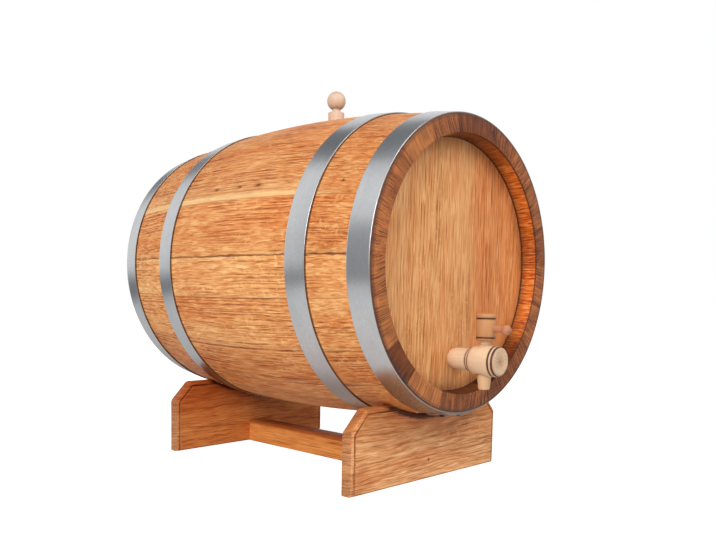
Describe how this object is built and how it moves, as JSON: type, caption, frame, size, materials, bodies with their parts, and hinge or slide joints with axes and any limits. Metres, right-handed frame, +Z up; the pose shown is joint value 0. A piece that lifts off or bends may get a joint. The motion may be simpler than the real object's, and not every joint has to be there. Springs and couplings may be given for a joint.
{
  "type": "cask drink dispenser",
  "caption": "Coopered oak cask lying on a two-cradle oak stand, with galvanised hoops, a turned ball-knob bung and a turned wooden tap with a quarter-turn key.",
  "frame": {"origin": "on the floor under the middle of the cask, at the stretcher's underside", "axes": "+Z up, Y along the cask's axis with the tap towards -Y, +X to the right as seen from the front"},
  "size_m": [0.3328, 0.4595, 0.4332],
  "materials": {
    "oak_stave": "planed oak, light satin seal",
    "oak_head": "planed oak, light satin seal",
    "oak_stand": "planed oak, light satin seal",
    "turned_beech": "turned and sanded, with burned rings",
    "beech_dowel": "raw",
    "hoop_steel": "galvanised, brushed",
    "rivet_steel": "galvanised, dull",
    "cork": "fine cork"
  },
  "bodies": {
    "stand": {"front_cradle": "oak_stand", "rear_cradle": "oak_stand", "stretcher": "oak_stand", "front_stand_dowel": "beech_dowel", "rear_stand_dowel": "beech_dowel"},
    "cask": {"stave_01": "oak_stave", "stave_02": "oak_stave", "stave_03": "oak_stave", "stave_04": "oak_stave", "stave_05": "oak_stave", "stave_06": "oak_stave", "stave_07": "oak_stave", "stave_08": "oak_stave", "stave_09": "oak_stave", "stave_10": "oak_stave", "stave_11": "oak_stave", "stave_12": "oak_stave", "stave_13": "oak_stave", "stave_14": "oak_stave", "stave_15": "oak_stave", "stave_16": "oak_stave", "stave_17": "oak_stave", "stave_18": "oak_stave", "stave_19": "oak_stave", "front_head_board_1": "oak_head", "front_head_board_2": "oak_head", "front_head_board_3": "oak_head", "front_head_board_4": "oak_head", "front_head_board_5": "oak_head", "rear_head_board_1": "oak_head", "rear_head_board_2": "oak_head", "rear_head_board_3": "oak_head", "rear_head_board_4": "oak_head", "rear_head_board_5": "oak_head", "front_head_dowels": "beech_dowel", "rear_head_dowels": "beech_dowel", "front_head_hoop": "hoop_steel", "front_quarter_hoop": "hoop_steel", "rear_quarter_hoop": "hoop_steel", "rear_head_hoop": "hoop_steel", "front_head_hoop_rivets": "rivet_steel", "front_quarter_hoop_rivets": "rivet_steel", "rear_quarter_hoop_rivets": "rivet_steel", "rear_head_hoop_rivets": "rivet_steel"},
    "bung": {"bung": "turned_beech"},
    "tap": {"tap_body": "turned_beech", "tap_cork_sleeve": "cork"},
    "key": {"tap_key": "turned_beech", "tap_lever": "turned_beech"}
  },
  "joints": [
    {"name": "cask_lift", "type": "slide", "parent": "stand", "child": "cask", "axis": [0, 0, 1], "range_m": [0, 0.15]},
    {"name": "bung_pull", "type": "slide", "parent": "cask", "child": "bung", "axis": [0, 0, 1], "range_m": [0, 0.06]},
    {"name": "tap_pull", "type": "slide", "parent": "cask", "child": "tap", "axis": [0, -1, 0], "range_m": [0, 0.06]},
    {"name": "key_turn", "type": "hinge", "parent": "tap", "child": "key", "pos_m": [0, -0.226, 0.133], "axis": [0, 0, 1], "continuous": true}
  ]
}
